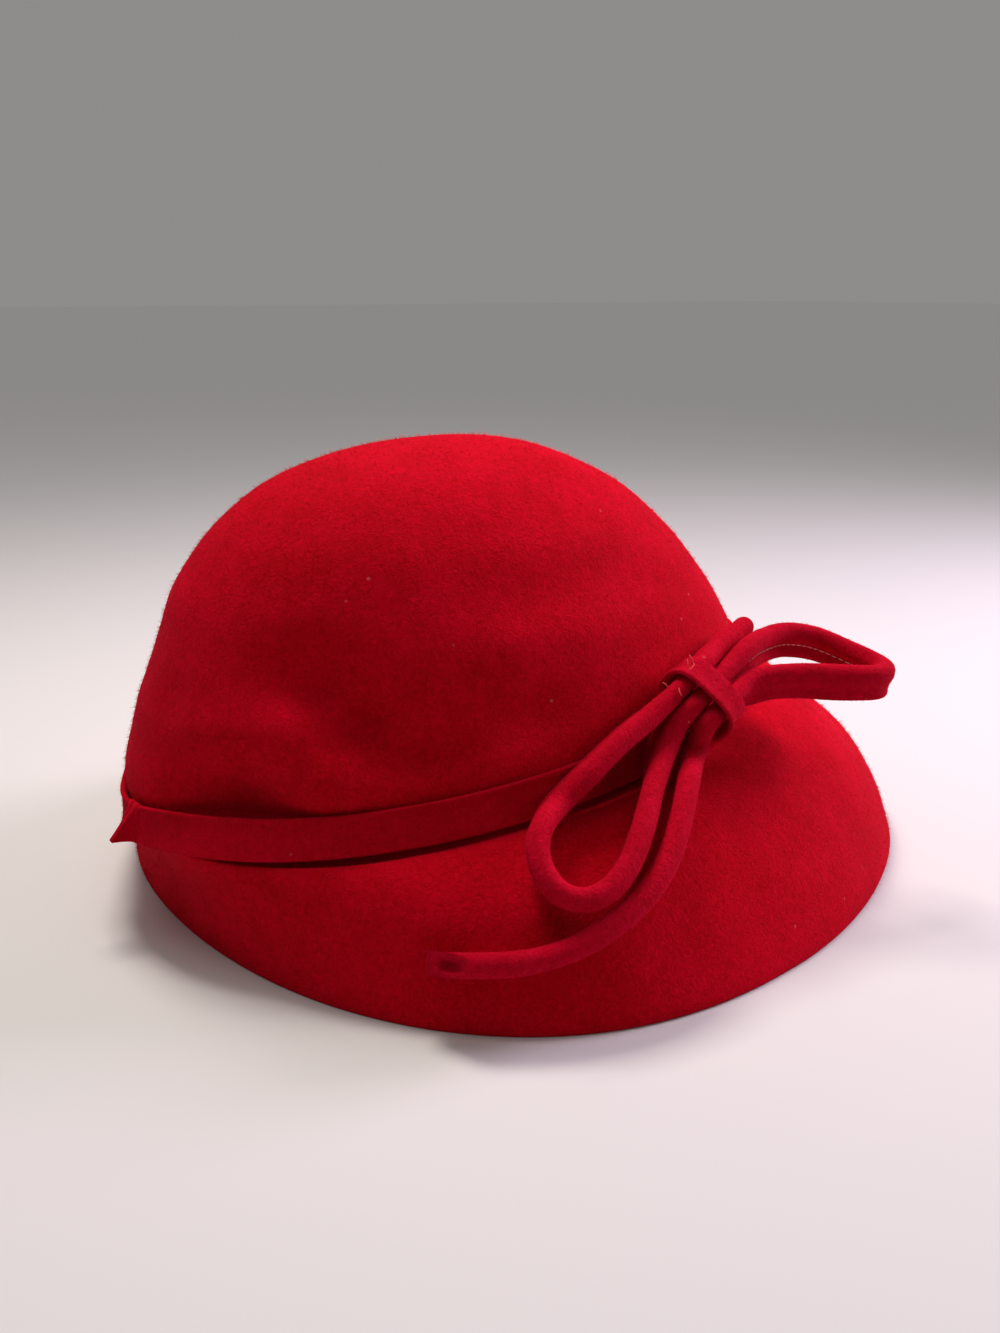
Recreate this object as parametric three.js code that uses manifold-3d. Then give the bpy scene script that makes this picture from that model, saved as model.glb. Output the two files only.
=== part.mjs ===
// A cloche hat of crimson wool felt, resting on its rim, with a felt band and a sewn bow.
// Millimetres, +Z up. The front of the hat faces -Y and the wearer's left side is +X.
// The origin lies under the middle of the whole hat, on the plane that its rim rests on.

import * as THREE from 'three';
import { mergeVertices } from 'three/addons/utils/BufferGeometryUtils.js';
import Module from 'manifold-3d';

const wasm = await Module();
wasm.setup();

// Felt body: sizes
const headLength = 203.4; // inside the crown at the join, front to back
const headWidth = 159.5; // inside the crown at the join, side to side
const feltWall = 2;
const crownHeight = 88; // from the join to the top, along the crown's own axis
const crownLeanDegrees = 8.3; // the crown leans towards the back
const joinHeight = 45.4; // middle of the join between crown and brim, over the table
const joinSetBack = 36.6; // middle of the join behind the middle of the rim
const brimLength = 247; // outer rim, front to back, before its corners are filled out
const brimWidth = 250.5; // outer rim, side to side, likewise
const rimEdgeHeight = 1.3; // square cut edge of the felt, over the flat that it rests on

// Felt body: form, without a unit
const roundUp = 1.53; // how the crown's sides close in as they rise
const roundOver = 2.52; // how flat the crown's top is
const crownTaper = -0.031;
const backFullness = 0.015; // the head is wider behind its middle
const rimBackFullness = 0.24; // the rim is wider behind its middle
const rimSquareness = 0.952; // 1 is an ellipse, less is squarer
const rimStretch = 0.038; // front and back reach out by this share, the sides draw in
const crownSweep = [-0.081, 0.158]; // forward and back shift of the rows, shares of crownHeight
const brimBelly = 0.159; // upward bulge of the brim, share of its local width
const brimBellySpread = 0.4;

// Band
const bandWidth = 11;
const bandThickness = 1.8;
const bandTuck = 1.5; // the felt body is drawn in under the band
const bandLowerEdgeFlare = 1;
const clearance = 0.35; // between neighbouring pieces
const finReach = 6.6; // pinched and sewn ends at the centre back
const finThickness = 3;

// Bow: one strip, a round tube with a flat stitched flange along one side
const tubeDiameter = 6.2;
const flangeDepth = 3.9;
const flangeThickness = 2.6;
const knotAroundDegrees = 197.8; // place of the knot: 270 is the front, 180 the wearer's right
const knotAboveJoin = 15.5;
const knotLift = 12.6; // middle strand's tube over the felt
const knotSlopeDegrees = 11;
const knotTiltDegrees = 28;
const knotSqueeze = 0.86; // the wrap presses the strip to this share of its section
const strandGap = 0.55;
const hangSpread = 100; // how far the hanging strands reach round the hat
const hangDrop = 50; // and how far down the brim
const looseLoopReach = 62; // the free loop in front of the knot
const wrapWidth = 8.4;
const wrapThickness = 1.7;

// Crown dents: around in degrees, up as a share of crownHeight, wide and tall likewise,
// deep as a share of crownHeight with a plus sign for a hollow
const dents = [
  { around: 130, up: 0.515, wide: 9, tall: 0.085, deep: 0.034 },
  { around: 140, up: 0.39, wide: 10, tall: 0.09, deep: 0.036 },
  { around: 123, up: 0.37, wide: 10, tall: 0.08, deep: -0.022 },
  { around: 115, up: 0.2, wide: 12, tall: 0.08, deep: 0.03 },
  { around: 180, up: 0.46, wide: 18, tall: 0.09, deep: -0.016 },
  { around: 174, up: 0.26, wide: 14, tall: 0.09, deep: 0.022 },
  { around: 20, up: 0.5, wide: 16, tall: 0.12, deep: 0.028 },
  { around: 330, up: 0.3, wide: 14, tall: 0.1, deep: 0.02 },
  { around: 75, up: 0.55, wide: 20, tall: 0.12, deep: 0.016 },
];

// Routes of the strip on the hat: aside from the knot as a share of hangSpread, down from the
// join as a share of hangDrop, lift of the tube over the felt as a share of the strip's depth
const tailRoute = [
  { aside: 0.983, down: 0.923, lift: 0.76 },
  { aside: 0.888, down: 0.963, lift: 0.76 },
  { aside: 0.784, down: 0.954, lift: 0.76 },
  { aside: 0.682, down: 0.897, lift: 0.76 },
  { aside: 0.584, down: 0.814, lift: 0.77 },
  { aside: 0.484, down: 0.69, lift: 0.78 },
  { aside: 0.388, down: 0.546, lift: 0.8 },
  { aside: 0.267, down: 0.365, lift: 0.84 },
  { aside: 0.065, down: -0.057, lift: 0.95 },
  { aside: 0.046, down: -0.118, lift: 1.05 },
];
const hangingLoopRoute = [
  { aside: 0.091, down: -0.247, lift: 1.0 },
  { aside: 0.15, down: -0.148, lift: 0.94 },
  { aside: 0.327, down: 0.29, lift: 0.93 },
  { aside: 0.476, down: 0.514, lift: 0.95 },
  { aside: 0.583, down: 0.675, lift: 0.97 },
  { aside: 0.662, down: 0.759, lift: 0.97 },
  { aside: 0.717, down: 0.769, lift: 0.97 },
  { aside: 0.744, down: 0.713, lift: 0.97 },
  { aside: 0.742, down: 0.611, lift: 0.97 },
  { aside: 0.705, down: 0.474, lift: 0.97 },
  { aside: 0.645, down: 0.353, lift: 0.97 },
  { aside: 0.463, down: -0.092, lift: 0.96 },
  { aside: 0.376, down: -0.18, lift: 0.93 },
  { aside: 0.271, down: -0.267, lift: 0.89 },
  { aside: 0.171, down: -0.318, lift: 0.86 },
];
const upperEndRoute = [
  { aside: -0.141, down: -0.43, lift: 0.86 },
  { aside: -0.226, down: -0.438, lift: 0.93 },
  { aside: -0.304, down: -0.44, lift: 1.03 },
  { aside: -0.356, down: -0.437, lift: 1.13 },
];

// Route of the free loop from the knot, all three as shares of looseLoopReach
const looseLoopRoute = [
  { front: 0.263, left: 0.017, up: 0.0 },
  { front: 0.359, left: 0.001, up: 0.019 },
  { front: 0.503, left: -0.077, up: 0.027 },
  { front: 0.611, left: -0.159, up: 0.024 },
  { front: 0.707, left: -0.234, up: 0.022 },
  { front: 0.801, left: -0.269, up: 0.017 },
  { front: 0.895, left: -0.234, up: 0.017 },
  { front: 0.947, left: -0.134, up: 0.022 },
  { front: 0.926, left: 0.017, up: 0.056 },
  { front: 0.832, left: 0.158, up: 0.109 },
  { front: 0.68, left: 0.203, up: 0.138 },
  { front: 0.532, left: 0.186, up: 0.138 },
  { front: 0.349, left: 0.115, up: 0.126 },
];

// Mesh fineness
const columns = 72;
const crownRows = 13;
const brimRows = 6;
const stripStep = 4.2;
const tubeSides = 9;

const radians = THREE.MathUtils.degToRad;
const up = new THREE.Vector3(0, 0, 1);
const crownLean = radians(crownLeanDegrees);
const crownBack = new THREE.Vector3(0, Math.cos(crownLean), -Math.sin(crownLean));
const crownAxis = new THREE.Vector3(0, Math.sin(crownLean), Math.cos(crownLean));
const joinCentre = new THREE.Vector3(0, joinSetBack, joinHeight);
const joinHalfLength = headLength / 2 + feltWall;
const joinHalfWidth = headWidth / 2 + feltWall;
const joinRadius = (joinHalfLength + joinHalfWidth) / 2;

// The felt's outer surface. around is an angle in radians. level runs from -1 at the crown's
// top over 0 at the join to +1 at the rim.
function crownPoint(around, height) {
  const closing = (1 - height ** roundUp) ** (1 / roundOver);
  const reach = closing * (1 + crownTaper * 4 * height * (1 - height));
  const sweep = (crownSweep[0] * height + crownSweep[1] * height * height) * crownHeight;
  const side = joinHalfWidth * reach * Math.cos(around) * (1 + backFullness * Math.sin(around));
  return joinCentre.clone()
    .add(new THREE.Vector3(side, 0, 0))
    .addScaledVector(crownBack, sweep + joinHalfLength * reach * Math.sin(around))
    .addScaledVector(crownAxis, crownHeight * height);
}

function squared(share) {
  return Math.sign(share) * Math.abs(share) ** rimSquareness;
}

function rimPoint(around) {
  const stretch = 1 - rimStretch * Math.cos(2 * around);
  const side = squared(Math.cos(around)) * (1 + rimBackFullness * Math.sin(around)) * stretch;
  const back = squared(Math.sin(around)) * stretch;
  return new THREE.Vector3((brimWidth / 2) * side, (brimLength / 2) * back, rimEdgeHeight);
}

function brimPoint(around, share) {
  const join = crownPoint(around, 0);
  const rim = rimPoint(around);
  const bulge = brimBelly * 4 * share * (1 - share) * join.distanceTo(rim);
  const outward = rim.clone().sub(join).setZ(0).normalize();
  return join.lerp(rim, share)
    .addScaledVector(up, bulge)
    .addScaledVector(outward, bulge * brimBellySpread);
}

function smoothPoint(around, level) {
  return level <= 0 ? crownPoint(around, -level) : brimPoint(around, level);
}

function smoothNormal(around, level) {
  const step = 0.002;
  const low = level <= 0 ? Math.min(level + step, 0) : level + step;
  const high = level <= 0 ? level - step : Math.max(level - step, 1e-6);
  const alongDown = smoothPoint(around, low).sub(smoothPoint(around, high));
  const alongRound = smoothPoint(around + step, level).sub(smoothPoint(around - step, level));
  return alongDown.cross(alongRound).normalize();
}

function angleBetween(one, other) {
  return Math.abs(THREE.MathUtils.euclideanModulo(one - other + 180, 360) - 180);
}

// How far the felt lies inside the smooth form: its dents, and the tuck under the band.
function drawnIn(around, level) {
  if (level > 0) {
    const fade = Math.max(0, 1 - (level * joinHalfWidth) / bandWidth);
    return bandTuck * fade * fade;
  }
  let depth = 0;
  for (const dent of dents) {
    const across = angleBetween(THREE.MathUtils.radToDeg(around), dent.around) / dent.wide;
    const along = (-level - dent.up) / dent.tall;
    depth += dent.deep * crownHeight * Math.exp(-(across * across) - along * along);
  }
  const aboveBand = (-level * crownHeight) / bandWidth;
  return depth + bandTuck * THREE.MathUtils.clamp(1.6 - aboveBand, 0, 1);
}

function feltPoint(around, level, outside = 0) {
  const offset = outside - drawnIn(around, level);
  return smoothPoint(around, level).addScaledVector(smoothNormal(around, level), offset);
}

// Turns rings of points into one closed mesh. Each ring closes on itself, and the rings close
// on each other unless the first and last are tips or caps.
function closedMesh(rings, { wrapRound = false, capTriangles = null } = {}) {
  const positions = [];
  const faces = [];
  const starts = [];
  for (const ring of rings) {
    starts.push(positions.length / 3);
    for (const point of ring) positions.push(point.x, point.y, point.z);
  }
  const joins = wrapRound ? rings.length : rings.length - 1;
  for (let row = 0; row < joins; row += 1) {
    const next = (row + 1) % rings.length;
    const here = rings[row].length;
    const there = rings[next].length;
    const count = Math.max(here, there);
    for (let k = 0; k < count; k += 1) {
      const a = starts[row] + (k % here);
      const b = starts[row] + ((k + 1) % here);
      const c = starts[next] + ((k + 1) % there);
      const d = starts[next] + (k % there);
      if (here > 1) faces.push(a, b, c);
      if (there > 1) faces.push(a, c, d);
    }
  }
  if (capTriangles) {
    const last = starts[rings.length - 1];
    for (const [a, b, c] of capTriangles) {
      faces.push(a, c, b);
      faces.push(last + a, last + b, last + c);
    }
  }
  const geometry = new THREE.BufferGeometry();
  geometry.setAttribute('position', new THREE.Float32BufferAttribute(positions, 3));
  geometry.setIndex(faces);
  return facingOut(geometry);
}

// Triangles that fill an outline, wound the same way as its corners.
function fillOutline(outline) {
  const direction = Math.sign(THREE.ShapeUtils.area(outline));
  return THREE.ShapeUtils.triangulateShape(outline, []).map(([a, b, c]) => {
    const turn = Math.sign(THREE.ShapeUtils.area([outline[a], outline[b], outline[c]]));
    return turn === direction ? [a, b, c] : [a, c, b];
  });
}

function signedVolume(geometry) {
  const position = geometry.getAttribute('position');
  const index = geometry.getIndex();
  const corners = [new THREE.Vector3(), new THREE.Vector3(), new THREE.Vector3()];
  let total = 0;
  for (let k = 0; k < index.count; k += 3) {
    corners.forEach((corner, n) => corner.fromBufferAttribute(position, index.getX(k + n)));
    total += corners[0].dot(corners[1].clone().cross(corners[2])) / 6;
  }
  return total;
}

function facingOut(geometry) {
  if (signedVolume(geometry) < 0) {
    const order = geometry.getIndex().array;
    for (let k = 0; k < order.length; k += 3) {
      [order[k + 1], order[k + 2]] = [order[k + 2], order[k + 1]];
    }
  }
  return geometry;
}

function toManifold(geometry) {
  const bare = geometry.clone();
  bare.deleteAttribute('normal');
  bare.deleteAttribute('uv');
  const merged = mergeVertices(bare, 1e-4);
  return new wasm.Manifold(new wasm.Mesh({
    numProp: 3,
    vertProperties: new Float32Array(merged.getAttribute('position').array),
    triVerts: new Uint32Array(merged.getIndex().array),
  }));
}

function fromManifold(solid) {
  const mesh = solid.getMesh();
  const geometry = new THREE.BufferGeometry();
  geometry.setAttribute('position', new THREE.BufferAttribute(mesh.vertProperties, 3));
  geometry.setIndex(new THREE.BufferAttribute(mesh.triVerts, 1));
  return geometry;
}

function joined(first, ...others) {
  return fromManifold(others.reduce((all, next) => all.add(toManifold(next)), toManifold(first)));
}

const turns = Array.from({ length: columns }, (_, k) => (k / columns) * 2 * Math.PI);

// Levels of the felt's rows, from the crown's top down to the rim.
function feltLevels() {
  const levels = [];
  for (let row = 1; row <= crownRows; row += 1) {
    const climb = (1 - row / crownRows) * (Math.PI / 2);
    levels.push(-(Math.sin(climb) ** (2 / roundUp)));
  }
  for (let row = 1; row <= brimRows; row += 1) levels.push(row / brimRows);
  return levels;
}

function makeFeltBody() {
  const levels = feltLevels();
  const outer = levels.map((level) => turns.map((around) => feltPoint(around, level)));
  const inner = levels.slice(0, -1).map((level) => (
    turns.map((around) => feltPoint(around, level, -feltWall))
  ));
  const outerFoot = [];
  const innerFoot = [];
  turns.forEach((around, k) => {
    const inward = smoothNormal(around, 1).negate();
    const level = inward.clone().setZ(0).normalize();
    const foot = outer[outer.length - 1][k].clone().setZ(0);
    outerFoot.push(foot.addScaledVector(level, rimEdgeHeight * Math.abs(inward.z)));
    innerFoot.push(foot.clone().addScaledVector(level, feltWall));
  });
  const outerTop = [crownPoint(0, 1)];
  const innerTop = [outerTop[0].clone().addScaledVector(crownAxis, -feltWall)];
  return closedMesh([
    outerTop, ...outer, outerFoot, innerFoot, ...inner.reverse(), innerTop,
  ]);
}

// The band stands on the felt with a small gap, and its lower edge flares over the brim.
function makeHatBand() {
  const above = clearance;
  const section = [
    { height: 0.3, outside: 0.6 + above },
    { height: bandWidth / 2, outside: above },
    { height: bandWidth, outside: above },
    { height: bandWidth, outside: above + bandThickness },
    { height: bandWidth / 2, outside: above + bandThickness },
    { height: 0.3, outside: above + bandThickness + bandLowerEdgeFlare },
  ];
  const rings = section.map(({ height, outside }) => (
    turns.map((around) => feltPoint(around, -height / crownHeight, outside))
  ));
  const band = closedMesh(rings, { wrapRound: true });
  return joined(band, makeBandFin());
}

// The band's two ends are pinched together and sewn in a slanted seam: a small pointed fin.
function makeBandFin() {
  const centreBack = Math.PI / 2;
  const base = clearance + bandThickness / 2;
  const outline = [
    { height: 0.95, reach: 0.15 },
    { height: 0.6, reach: 0.3 },
    { height: 0.12, reach: 1 },
    { height: 0.02, reach: 0.96 },
    { height: 0.04, reach: 0.3 },
  ];
  const place = (height, outside) => (
    feltPoint(centreBack, -(height * bandWidth) / crownHeight, outside)
  );
  const edge = outline.map(({ height, reach }) => (
    place(height, bandThickness + clearance + reach * finReach)
  ));
  edge.push(place(0.1, base), place(0.9, base));
  const sides = [-1, 1].map((side) => (
    edge.map((point) => point.clone().setX((side * finThickness) / 2))
  ));
  const flat = edge.map((point) => new THREE.Vector2(point.y, point.z));
  return closedMesh(sides, { capTriangles: fillOutline(flat) });
}

// Where a strand lies: a distance round the hat from the knot, and down from the join.
function onTheHat(aside, down, lift) {
  const around = radians(knotAroundDegrees) - aside / joinRadius;
  const local = crownPoint(around, 0).distanceTo(rimPoint(around));
  const level = down <= 0 ? down / crownHeight : down / local;
  const normal = smoothNormal(around, level);
  return { point: smoothPoint(around, level).addScaledVector(normal, lift), normal };
}

// The knot's own directions: strands run along it, lie side by side across it, and stand out.
const knot = (() => {
  const around = radians(knotAroundDegrees);
  const seat = onTheHat(0, -knotAboveJoin, 0);
  const ahead = onTheHat(-1, -knotAboveJoin, 0).point.sub(seat.point).normalize();
  const across = new THREE.Vector3().crossVectors(ahead, seat.normal).normalize();
  if (across.z < 0) across.negate();
  const slope = radians(knotSlopeDegrees);
  const tilt = radians(knotTiltDegrees);
  const along = ahead.clone().multiplyScalar(Math.cos(slope))
    .addScaledVector(across, Math.sin(slope));
  across.addScaledVector(along, -across.dot(along)).normalize();
  const outward = seat.normal.clone().multiplyScalar(Math.cos(tilt))
    .addScaledVector(across, Math.sin(tilt));
  const side = new THREE.Vector3().crossVectors(outward, along).normalize();
  if (side.z < 0) side.negate();
  const centre = seat.point.clone().addScaledVector(seat.normal, knotLift);
  return { around, along, outward, side, centre };
})();

const stripDepth = tubeDiameter + flangeDepth;
const strandPitch = tubeDiameter * knotSqueeze + strandGap;

function throughKnot(strand, direction) {
  const middle = knot.centre.clone().addScaledVector(knot.side, strand * strandPitch);
  return [-0.9, -0.55, 0.55, 0.9].map((share) => ({
    point: middle.clone().addScaledVector(knot.along, direction * share * wrapWidth),
    flange: knot.outward.clone().negate(),
    squeeze: knotSqueeze,
  }));
}

function alongTheHat(route) {
  return route.map(({ aside, down, lift }) => {
    const place = onTheHat(aside * hangSpread, down * hangDrop, lift * stripDepth);
    return { point: place.point, flange: place.normal.negate(), squeeze: 1 };
  });
}

function inTheOpen(route) {
  return route.map(({ front, left, up: rise }) => ({
    point: new THREE.Vector3(left, -front, rise).multiplyScalar(looseLoopReach).add(knot.centre),
    flange: new THREE.Vector3(0, 0, -1),
    squeeze: 1,
  }));
}

// Tube and flange in one outline: x across the strip, y from the tube towards the flange.
function stripSection(squeeze) {
  const radius = tubeDiameter / 2;
  const halfFlange = flangeThickness / 2;
  const opening = Math.asin(halfFlange / radius);
  const outline = [];
  for (let k = 0; k <= tubeSides; k += 1) {
    const angle = opening + (k / tubeSides) * 2 * (Math.PI - opening);
    outline.push(new THREE.Vector2(Math.sin(angle) * radius, Math.cos(angle) * radius));
  }
  outline.push(new THREE.Vector2(-halfFlange, radius + flangeDepth));
  outline.push(new THREE.Vector2(halfFlange, radius + flangeDepth));
  return outline.map((corner) => corner.multiplyScalar(squeeze));
}

function makeBowStrip() {
  const stations = [
    ...alongTheHat(tailRoute),
    ...throughKnot(-1, 1),
    ...inTheOpen(looseLoopRoute),
    ...throughKnot(0, -1),
    ...alongTheHat(hangingLoopRoute),
    ...throughKnot(1, 1),
    ...alongTheHat(upperEndRoute),
  ];
  const line = new THREE.CatmullRomCurve3(
    stations.map((station) => station.point), false, 'centripetal',
  );
  const steps = Math.round(line.getLength() / stripStep);
  const rings = [];
  for (let k = 0; k <= steps; k += 1) {
    const share = line.getUtoTmapping(k / steps);
    const place = share * (stations.length - 1);
    const before = stations[Math.min(Math.floor(place), stations.length - 1)];
    const after = stations[Math.min(Math.floor(place) + 1, stations.length - 1)];
    const mix = place - Math.floor(place);
    const centre = line.getPoint(share);
    const tangent = line.getTangent(share);
    const flange = before.flange.clone().lerp(after.flange, mix);
    flange.addScaledVector(tangent, -flange.dot(tangent)).normalize();
    const across = new THREE.Vector3().crossVectors(tangent, flange);
    const squeeze = THREE.MathUtils.lerp(before.squeeze, after.squeeze, mix);
    rings.push(stripSection(squeeze).map((corner) => (
      centre.clone().addScaledVector(across, corner.x).addScaledVector(flange, corner.y)
    )));
  }
  return closedMesh(rings, { capTriangles: fillOutline(stripSection(1)) });
}

// The wrap is a strip of felt closed round the three strands.
function roundedBox(halfWidth, low, high, radius) {
  const outline = new THREE.Shape();
  outline.moveTo(halfWidth - radius, low);
  outline.absarc(halfWidth - radius, low + radius, radius, -Math.PI / 2, 0);
  outline.absarc(halfWidth - radius, high - radius, radius, 0, Math.PI / 2);
  outline.absarc(-halfWidth + radius, high - radius, radius, Math.PI / 2, Math.PI);
  outline.absarc(-halfWidth + radius, low + radius, radius, Math.PI, 1.5 * Math.PI);
  return outline;
}

function makeBowWrap() {
  const halfTube = (tubeDiameter / 2) * knotSqueeze;
  const innerHalf = strandPitch + halfTube + clearance;
  const innerHigh = halfTube + clearance;
  const innerLow = -(tubeDiameter / 2 + flangeDepth) * knotSqueeze - clearance;
  const corner = halfTube * 0.8;
  const shape = roundedBox(
    innerHalf + wrapThickness, innerLow - wrapThickness, innerHigh + wrapThickness,
    corner + wrapThickness,
  );
  shape.holes.push(roundedBox(innerHalf, innerLow, innerHigh, corner));
  const geometry = new THREE.ExtrudeGeometry(shape, {
    depth: wrapWidth, bevelEnabled: false, curveSegments: 5,
  });
  geometry.translate(0, 0, -wrapWidth / 2);
  const basis = new THREE.Matrix4().makeBasis(
    knot.side, knot.outward, new THREE.Vector3().crossVectors(knot.side, knot.outward),
  );
  geometry.applyMatrix4(basis);
  geometry.translate(knot.centre.x, knot.centre.y, knot.centre.z);
  return fromManifold(toManifold(geometry));
}

function felt(colour) {
  return new THREE.MeshStandardMaterial({ color: colour, roughness: 0.95, metalness: 0 });
}

function piece(name, geometry, colour) {
  const mesh = new THREE.Mesh(geometry, felt(colour));
  mesh.name = name;
  return mesh;
}

const hat = new THREE.Group();
hat.add(piece('felt_body', makeFeltBody(), 0xa00018));
hat.add(piece('hat_band', makeHatBand(), 0x98001a));
hat.add(piece('bow_strip', makeBowStrip(), 0xa8041c));
hat.add(piece('bow_wrap', makeBowWrap(), 0xb0061e));

const extent = new THREE.Box3().setFromObject(hat, true);
const middle = extent.getCenter(new THREE.Vector3());
hat.position.set(-middle.x, -middle.y, 0);

const placed = new THREE.Group();
placed.add(hat);
placed.updateMatrixWorld(true);

export default placed;
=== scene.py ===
# %% [markdown]
# # A crimson felt cloche hat
# The hat is four pieces of wool felt. One blocked hood makes the crown and the brim. A flat band
# runs round the foot of the crown, and a sewn strip is tied into a bow and closed by a short wrap.
# Felt has no weave: it is a mat of short wool fibres. So most of this lesson is about smooth,
# slightly uneven forms, a soft cut edge, and a nap of tiny fibres that catches the light.
#
# The imported model is loaded first. Its lowest corner is the place from which the rim, the crown
# and the camera are set, and its box is kept and printed.

# %% Load the frame
import math

import bpy
import numpy as np
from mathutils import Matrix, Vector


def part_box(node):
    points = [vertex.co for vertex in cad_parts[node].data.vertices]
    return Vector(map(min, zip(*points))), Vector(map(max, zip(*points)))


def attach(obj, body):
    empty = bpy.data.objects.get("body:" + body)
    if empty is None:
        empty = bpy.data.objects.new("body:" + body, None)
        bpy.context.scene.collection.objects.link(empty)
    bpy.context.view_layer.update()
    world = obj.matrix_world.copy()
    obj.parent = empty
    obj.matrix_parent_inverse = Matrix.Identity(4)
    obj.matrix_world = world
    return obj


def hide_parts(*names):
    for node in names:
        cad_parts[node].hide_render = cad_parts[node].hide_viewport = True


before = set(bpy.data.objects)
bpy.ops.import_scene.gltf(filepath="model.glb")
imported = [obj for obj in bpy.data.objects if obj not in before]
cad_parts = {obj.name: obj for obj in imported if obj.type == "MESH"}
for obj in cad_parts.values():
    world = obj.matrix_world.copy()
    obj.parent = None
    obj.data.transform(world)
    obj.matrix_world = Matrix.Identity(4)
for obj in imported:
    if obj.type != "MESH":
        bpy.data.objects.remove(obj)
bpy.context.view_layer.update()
body_low, body_high = (np.array(corner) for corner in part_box("felt_body"))
MM = 0.001
print("felt body from", body_low.round(4), "to", body_high.round(4))

# %% [markdown]
# ## The camera
# The photo looks down a little on the hat's right side, from behind it. A camera is easy to place
# by turning an arm round the hat: an angle round, an angle up, and a distance. The hat is not
# quite in the middle of the picture, so the camera also slides a little sideways and up.
# Blender's lens is stated in millimetres for a 36 mm wide film, along the picture's long side.

# %% Place the camera
VIEW_ROUND = math.radians(-124.03)  # 0 looks at the front, -90 at the wearer's right
VIEW_UP = math.radians(15.23)
VIEW_DISTANCE = 465.4 * MM
VIEW_SLIDE_UP = 57.0 * MM
LENS_MM, FILM_MM = 37.8, 36
ARM_FOOT_BACK = 144.2 * MM  # behind the front of the rim

arm = np.array([
    math.sin(VIEW_ROUND) * math.cos(VIEW_UP),
    -math.cos(VIEW_ROUND) * math.cos(VIEW_UP),
    math.sin(VIEW_UP),
])
view_right = np.cross(-arm, [0, 0, 1])
view_right /= np.linalg.norm(view_right)
view_up = np.cross(view_right, -arm)
arm_foot = np.array([0, body_low[1] + ARM_FOOT_BACK, 0])
camera_place = arm_foot + arm * VIEW_DISTANCE + view_up * VIEW_SLIDE_UP

camera = bpy.data.objects.new("camera", bpy.data.cameras.new("camera"))
bpy.context.scene.collection.objects.link(camera)
camera.location = camera_place
camera.rotation_euler = (math.pi / 2 - VIEW_UP, 0, VIEW_ROUND)
camera.data.sensor_width = FILM_MM
camera.data.lens = LENS_MM
camera.data.clip_start = 0.01
bpy.context.scene.camera = camera
print("camera at", camera_place.round(3))

# %% [markdown]
# ## The hood's form
# A hat blocker works from two shapes: the head at the join of crown and brim, and the outline of
# the rim. Everything between is stretched felt. The same two shapes are used here, as formulas, so
# that the fine mesh lies exactly where the coarse solid lies. The crown's sides close in as they
# rise, and the crown leans back. `around` is the angle round the head, with the front at 270
# degrees. `level` runs from -1 at the top over 0 at the join to 1 at the rim.

# %% Name the hood's sizes
HEAD_LENGTH = 203.4 * MM
HEAD_WIDTH = 159.5 * MM
FELT_WALL = 2.0 * MM
CROWN_HEIGHT = 88.0 * MM
CROWN_LEAN = math.radians(8.3)
JOIN_HEIGHT = 45.4 * MM
JOIN_SET_BACK = 36.6 * MM
BRIM_LENGTH = 247.0 * MM
BRIM_WIDTH = 250.5 * MM
RIM_EDGE_HEIGHT = 1.3 * MM
ROUND_UP, ROUND_OVER = 1.53, 2.52
CROWN_TAPER = -0.031
BACK_FULLNESS = 0.015
RIM_BACK_FULLNESS = 0.24
RIM_SQUARENESS = 0.952
RIM_STRETCH = 0.038
CROWN_SWEEP = (-0.081, 0.158)
BRIM_BELLY, BRIM_BELLY_SPREAD = 0.159, 0.4
BAND_WIDTH = 11.0 * MM
BAND_TUCK = 1.5 * MM

rim_middle_y = body_low[1] + BRIM_LENGTH / 2 * (1 + RIM_STRETCH)
crown_back = np.array([0, math.cos(CROWN_LEAN), -math.sin(CROWN_LEAN)])
crown_axis = np.array([0, math.sin(CROWN_LEAN), math.cos(CROWN_LEAN)])
join_centre = np.array([0, rim_middle_y + JOIN_SET_BACK, body_low[2] + JOIN_HEIGHT])
join_half_length = HEAD_LENGTH / 2 + FELT_WALL
join_half_width = HEAD_WIDTH / 2 + FELT_WALL
join_radius = (join_half_length + join_half_width) / 2
print("rim middle y", round(rim_middle_y, 5), "join centre", join_centre.round(4))


# %% Write the crown and the rim as formulas
def squared(share):
    return np.sign(share) * np.abs(share) ** RIM_SQUARENESS


def crown_point(around, height):
    closing = np.maximum(1 - height ** ROUND_UP, 0) ** (1 / ROUND_OVER)
    reach = closing * (1 + CROWN_TAPER * 4 * height * (1 - height))
    sweep = (CROWN_SWEEP[0] * height + CROWN_SWEEP[1] * height ** 2) * CROWN_HEIGHT
    side = join_half_width * reach * np.cos(around) * (1 + BACK_FULLNESS * np.sin(around))
    back = sweep + join_half_length * reach * np.sin(around)
    point = join_centre + back[..., None] * crown_back
    point = point + (CROWN_HEIGHT * height)[..., None] * crown_axis
    point[..., 0] += side
    return point


def rim_point(around):
    stretch = 1 - RIM_STRETCH * np.cos(2 * around)
    side = squared(np.cos(around)) * (1 + RIM_BACK_FULLNESS * np.sin(around)) * stretch
    back = squared(np.sin(around)) * stretch
    height = np.full_like(side, body_low[2] + RIM_EDGE_HEIGHT)
    return np.stack([BRIM_WIDTH / 2 * side, rim_middle_y + BRIM_LENGTH / 2 * back, height], -1)


top_point = crown_point(np.zeros(1), np.ones(1))[0]
print("top of the crown", top_point.round(4), "rim at the back", rim_point(math.pi / 2).round(4))


# %% Stretch the felt between them
FINE_STEP, WIDE_STEP = 0.002, 0.03


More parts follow.
